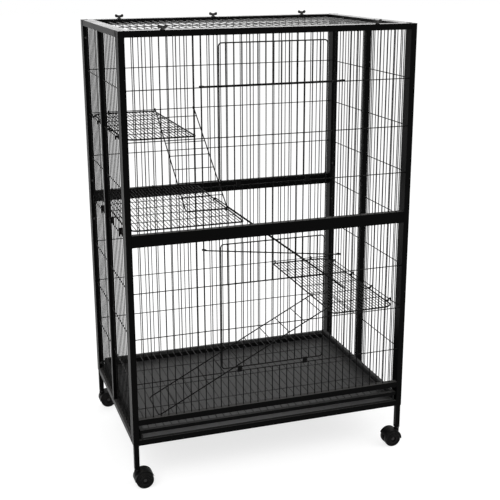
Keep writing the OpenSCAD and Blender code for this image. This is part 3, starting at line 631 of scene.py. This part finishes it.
# Ramp, pivot, turn, length, level that its foot rests on, wire under its hooks, seed
for ramp, pivot, turn, length, rest_z, wire, seed in (
    ("upper_ramp", (-DOOR_COL * COL, PANEL_Y, UPPER_ROWS[1]), -math.pi / 2, 495 * MM,
     SHELF_Z["middle_shelf"] + SHELF_ROD / 2, WIRE, 51),
    ("middle_ramp", (-76 * MM, -3.5 * MM, SHELF_Z["middle_shelf"]), 0.0, 549 * MM,
     SHELF_Z["lower_shelf"] + SHELF_ROD / 2, SHELF_ROD, 52),
    ("lower_ramp", (225 * MM, -171.5 * MM, SHELF_Z["lower_shelf"]), math.pi, 665 * MM,
     GRATE_TOP, SHELF_ROD, 53),
):
    places = rung_welds(pivot, turn, length, pivot[2] - rest_z - FOOT, wire)
    weld(ramp + "_welds", places, ramp, 2.1 * MM, seed)


def square_seam(centre, axis):
    """The four edges of a tube's end that is welded to an upright."""
    axes = ((1, 0, 0), (0, 1, 0), (0, 0, 1))
    u, v = (Vector(a) * (TUBE / 2) for a in axes if a != axis)
    corners = [Vector(centre) + u * a + v * b for a, b in ((-1, -1), (1, -1), (1, 1), (-1, 1))]
    return [(corners[i], corners[(i + 1) % 4]) for i in range(4)]


def frame_seams():
    seams = []
    for side in (-1, 1):
        for z in (DRAWER_RAIL, BASE, SPLIT - TUBE, SPLIT, TOP - TUBE):
            seams += square_seam((side * INNER_W, -PANEL_Y, z + TUBE / 2), (1, 0, 0))
        for z in (BASE, SPLIT - TUBE, SPLIT, TOP - TUBE):
            seams += square_seam((side * INNER_W, PANEL_Y, z + TUBE / 2), (1, 0, 0))
        for z in (BASE, TOP - TUBE):
            for y in (-INNER_D + TUBE, INNER_D - TUBE):
                seams += square_seam((side * PANEL_X, y, z + TUBE / 2), (0, 1, 0))
        for z in (BASE + TUBE, TOP - TUBE):
            seams += square_seam((side * PANEL_X, SIDE_POST, z), (0, 0, 1))
    return seams


SEAMS.make(
    "frame_corner_welds", line_mesh(frame_seams()), "cage", "frame_powder_coat",
    {"Width": 0.9 * MM, "Ripple": 0.3 * MM, "Step": 1.6 * MM, "Finish": FRAME_COAT},
)


# ---- Small turned and moulded parts ----

STEPS = 24


def ring(bm, radii, height):
    """A level ring of vertices around the axis, one for each radius, in millimetres."""
    return [
        bm.verts.new((r * math.cos(angle) * MM, r * math.sin(angle) * MM, height * MM))
        for r, angle in ((r, 2 * math.pi * i / len(radii)) for i, r in enumerate(radii))
    ]


def skin(bm, rings):
    """Faces from ring to ring. A ring of one vertex is a point on the axis."""
    for a, b in zip(rings, rings[1:]):
        for i in range(STEPS):
            j = (i + 1) % STEPS
            face = [a[i % len(a)], a[j % len(a)], b[j % len(b)], b[i % len(b)]]
            bm.faces.new(list(dict.fromkeys(face)))


def turned(bm, profile):
    """Rings from (radius, height) pairs. A radius of 0 gives a point."""
    return [ring(bm, [r] * STEPS if r else [0], h) for r, h in profile]


def dome_bolt(bm):
    """Button head with a hexagonal key socket, head towards -Z, seated on z 0."""
    tube = TUBE / MM
    hexagon = [
        1.5 / math.cos((2 * math.pi * i / STEPS + math.pi / 6) % (math.pi / 3) - math.pi / 6)
        for i in range(STEPS)
    ]
    floor, rim = -1.2, -2.95
    head = [(2.6, rim), (3.7, -2.45), (4.5, -1.5), (4.95, -0.35), (5.0, 0.0)]
    shank = [(2.5, 0.0), (2.5, tube + 4.6), (0, tube + 5)]
    socket = turned(bm, [(0, floor)]) + [ring(bm, hexagon, h) for h in (floor, rim)]
    skin(bm, socket + turned(bm, head + shank))


def cast_wing_bolt(bm):
    """Cast wing bolt on its washer: turned hub with two rounded ears."""
    shank = [(0, -5.9), (2.6, -5.9), (2.95, -5.5), (2.95, 0.0)]
    washer = [(7.3, 0.0), (7.5, 0.25), (7.5, 1.2), (7.2, 1.5)]
    hub = [
        (5.0, 1.5), (5.0, 3.2), (4.7, 6.2), (4.0, 8.8), (3.2, 10.6), (1.8, 11.3), (0, 11.4),
    ]
    skin(bm, turned(bm, shank + washer + hub))

    outline = [(2.0, 4.0), (9.0, 4.0), (12.2, 4.6), (14.2, 6.4), (14.9, 8.8)]
    outline += [
        (11 + 4 * math.cos(a), 11 + 4 * math.sin(a))
        for a in (math.radians(d) for d in range(0, 131, 26))
    ]
    outline += [(6.8, 13.0), (5.0, 11.9), (2.0, 11.2)]
    thick = 2.5 * MM
    for side in (-1, 1):
        near = [bm.verts.new((side * x * MM, -thick / 2, z * MM)) for x, z in outline]
        grown = bmesh.ops.extrude_face_region(bm, geom=[bm.faces.new(near)])["geom"]
        far = [g for g in grown if isinstance(g, bmesh.types.BMVert)]
        for v in far:
            v.co.y += thick
        ear = set(near + far)
        rims = [
            e for e in bm.edges
            if ear.issuperset(e.verts) and abs(e.verts[0].co.y - e.verts[1].co.y) < 0.1 * MM
        ]
        bmesh.ops.bevel(bm, geom=rims, offset=0.55 * MM, segments=2, affect="EDGES", profile=0.5)


def wheel_rib(bm):
    """Stiffening rib in the dish of a wheel's outer face, from the hub to the rim."""
    inner, outer = [
        [bm.verts.new((r * MM, half * a * MM, h * MM)) for a, h in (
            (-1, -0.1), (-0.7, 1.0), (0.7, 1.0), (1, -0.1))]
        for r, half in ((15.8, 0.9), (23.2, 0.6))
    ]
    for i in range(4):
        bm.faces.new((inner[i], inner[(i + 1) % 4], outer[(i + 1) % 4], outer[i]))
    bm.faces.new(inner[::-1])
    bm.faces.new(outer)


def template(name, build, sharp=30):
    """A pattern part for the trees, smooth but for edges past an angle of sharp degrees.

    It is removed again when the trees have run.
    """
    bm = bmesh.new()
    build(bm)
    bmesh.ops.remove_doubles(bm, verts=bm.verts, dist=0.01 * MM)
    bmesh.ops.recalc_face_normals(bm, faces=bm.faces)
    bm.normal_update()
    for face in bm.faces:
        face.smooth = True
    for edge in bm.edges:
        closed = len(edge.link_faces) == 2
        edge.smooth = closed and edge.calc_face_angle(0) < math.radians(sharp)
    mesh = bpy.data.meshes.new(name)
    bm.to_mesh(mesh)
    bm.free()
    return add(name, mesh)


bolt = template("bolt_pattern", dome_bolt)
bolt_places, bolt_turns = [], []
for sx in (-1, 1):
    for z in BOLT_HEIGHTS:
        for sy in (-1, 1):
            bolt_places.append((sx * PANEL_X, sy * (INNER_D - TUBE), z))
            bolt_turns.append((-sy * math.pi / 2, 0, 0))
    for sy in (-1, 1):
        bolt_places.append((sx * (INNER_W - TUBE), sy * INNER_D / 2, TOP - TUBE / 2))
        bolt_turns.append((0, sx * math.pi / 2, 0))
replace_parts(COPIES.make(
    "frame_bolts", point_mesh(bolt_places, bolt_turns), "cage", "plated_steel",
    {"Part": bolt, "Finish": PLATED},
), "corner_bolts")
bpy.data.objects.remove(bolt)

wing = template("wing_pattern", cast_wing_bolt, sharp=40)
wing_places = [(x, -PANEL_Y, TOP) for x in (-WING_X, WING_X)]
wing_places += [(x, PANEL_Y, TOP) for x in (-WING_X, 0, WING_X)]
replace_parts(COPIES.make(
    "cast_wing_bolts", point_mesh(wing_places, [(0, 0, 0)] * len(wing_places)),
    "cage", "plated_steel", {"Part": wing, "Finish": PLATED},
), "wing_bolts")
bpy.data.objects.remove(wing)

rib = template("rib_pattern", wheel_rib)
for corner, (sx, sy) in CORNERS.items():
    places, turns = [], []
    for side in (-1, 1):
        dish = (sx * (PANEL_X - TRAIL), sy * PANEL_Y + side * (WHEEL_OUT - 1.5 * MM), WHEEL_R)
        for i in range(RIBS):
            places.append(dish)
            turns.append((-side * math.pi / 2, 2 * math.pi * i / RIBS, 0))
    COPIES.make(
        corner + "_wheel_ribs", point_mesh(places, turns), corner + "_wheels", "caster_nylon",
        {"Part": rib, "Finish": WHEEL_NYLON},
    )
bpy.data.objects.remove(rib)


# ---- Floor, light and camera ----

def build_floor():
    """A floor that takes soft shadows and shows nearly white."""
    bpy.ops.mesh.primitive_plane_add(size=60)
    floor = bpy.context.object
    floor.name = "studio_floor"
    f = Finish("pale_floor")
    seen = f.seen()
    base = f.out("ShaderNodeBsdfDiffuse", None, {"Color": grey(0.8)})
    pale = f.out("ShaderNodeBsdfDiffuse", None, {"Color": grey(0.4)})
    glow = f.out("ShaderNodeEmission", None, {"Color": grey(1.0), "Strength": 0.72})
    both = f.out("ShaderNodeAddShader", None, {0: pale, 1: glow})
    mixed = f.out("ShaderNodeMixShader", None, {0: seen, 1: base, 2: both})
    f.node("ShaderNodeOutputMaterial", None, {"Surface": mixed})
    floor.data.materials.append(f.material)


def build_light():
    """A white surround that lights a little less than it shows, and three area lamps."""
    world = bpy.data.worlds.new("studio_world")
    bpy.context.scene.world = world
    world.use_nodes = True
    w = Nodes(world.node_tree)
    w.tree.nodes.clear()
    seen = w.seen()
    soft = w.out("ShaderNodeBackground", None, {"Color": grey(1.0), "Strength": 0.8})
    white = w.out("ShaderNodeBackground", None, {"Color": grey(1.0), "Strength": 1.0})
    sky = w.out("ShaderNodeMixShader", None, {0: seen, 1: soft, 2: white})
    w.node("ShaderNodeOutputWorld", None, {"Surface": sky})

    middle = Vector((0, 0, 0.7))
    for name, place, size, power in (
        ("key_light", (-2.2, -2.6, 3.2), 2.2, 60.0),
        ("fill_light", (2.8, -2.0, 2.2), 2.4, 25.0),
        ("back_light", (0.8, 2.8, 3.0), 2.2, 25.0),
    ):
        lamp = bpy.data.lights.new(name, "AREA")
        lamp.size = size
        lamp.energy = power
        holder = add(name, lamp)
        holder.location = place
        aim = middle - Vector(place)
        holder.rotation_euler = aim.to_track_quat("-Z", "Y").to_euler()


def build_camera():
    """The photograph's own view, solved on the eight corners of the cage."""
    yaw, pitch, roll = (math.radians(a) for a in (18.069, 15.745, -0.339))
    ahead = Vector((
        math.sin(yaw) * math.cos(pitch), math.cos(yaw) * math.cos(pitch), -math.sin(pitch)
    ))
    right = Vector((math.cos(yaw), -math.sin(yaw), 0))
    up = right.cross(ahead)
    right_rolled = math.cos(roll) * right + math.sin(roll) * up
    up_rolled = math.cos(roll) * up - math.sin(roll) * right
    data = bpy.data.cameras.new("photo_camera")
    data.sensor_width = 36
    data.lens = 69.575
    data.shift_x = 0.0195
    data.shift_y = -0.0299
    data.clip_start, data.clip_end = 0.05, 200
    camera = add("photo_camera", data)
    turn = Matrix((right_rolled, up_rolled, -ahead)).transposed()
    camera.matrix_world = Matrix.Translation((-1.00963, -3.07717, 1.63342)) @ turn.to_4x4()
    bpy.context.scene.camera = camera


build_floor()
build_light()
build_camera()
bpy.context.scene.view_settings.view_transform = "Standard"
